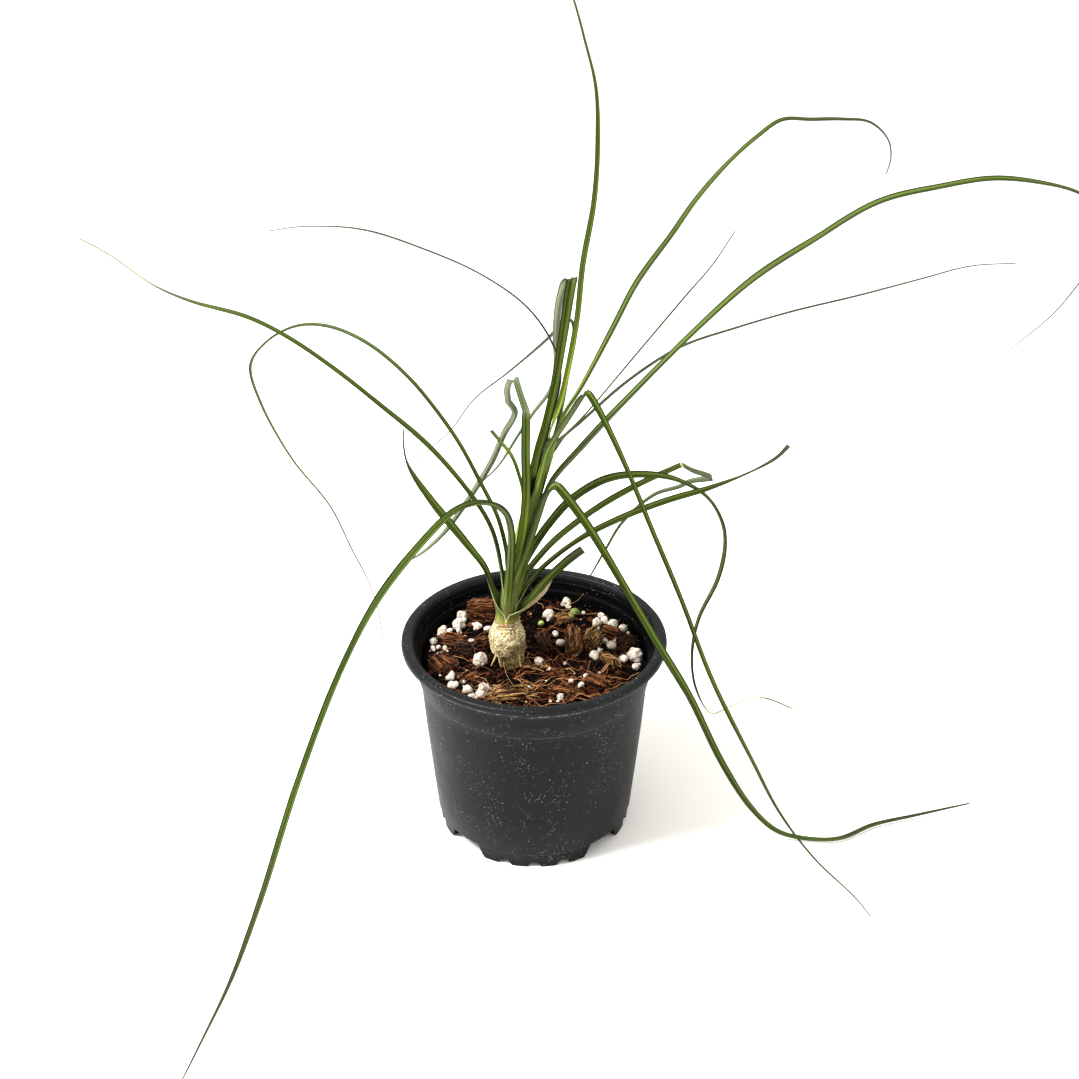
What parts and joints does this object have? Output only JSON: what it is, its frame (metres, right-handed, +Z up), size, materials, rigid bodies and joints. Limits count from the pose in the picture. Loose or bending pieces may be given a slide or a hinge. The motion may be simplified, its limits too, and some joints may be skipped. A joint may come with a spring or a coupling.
{
  "type": "potted ponytail palm",
  "caption": "Young ponytail palm with a small corky trunk and long arching grassy leaves, in a round black nursery pot filled with chunky potting mix.",
  "frame": {"origin": "on the pot's axis, in the plane of the foot pads that it stands on; the base plate's flat underside is 2.5 mm above it", "axes": "+Z up along the pot's axis; +X to the right and +Y to the back as the picture shows it"},
  "size_m": [0.3725, 0.2845, 0.3502],
  "materials": {
    "pot": "black moulded plastic, slightly dusty",
    "soil": "dark humus with coir chips and fibres and white perlite",
    "bark": "flaky corky bark",
    "shoot": "pale green wrapped leaf bases",
    "bract": "dry papery skin",
    "leaf": "satin green leaf"
  },
  "bodies": {
    "root": {"pot": "pot", "soil": "soil", "trunk": "bark", "crown": "shoot", "bract": "bract", "leaf_front_left_arch": "leaf", "leaf_left_long": "leaf", "leaf_left_loop": "leaf", "leaf_left_short": "leaf", "leaf_folded_upright": "leaf", "leaf_folded_tall": "leaf", "leaf_top_spear": "leaf", "leaf_right_high_arc": "leaf", "leaf_right_long_arch": "leaf", "leaf_thread_right_steep": "leaf", "leaf_thread_right_long": "leaf", "leaf_kinked_front_right": "leaf", "leaf_kinked_trailing": "leaf", "leaf_right_hook": "leaf", "leaf_right_folded": "leaf", "leaf_right_cut": "leaf", "leaf_right_stub": "leaf", "leaf_left_stub": "leaf", "leaf_thread_left": "leaf", "leaf_thread_back": "leaf"}
  },
  "joints": []
}
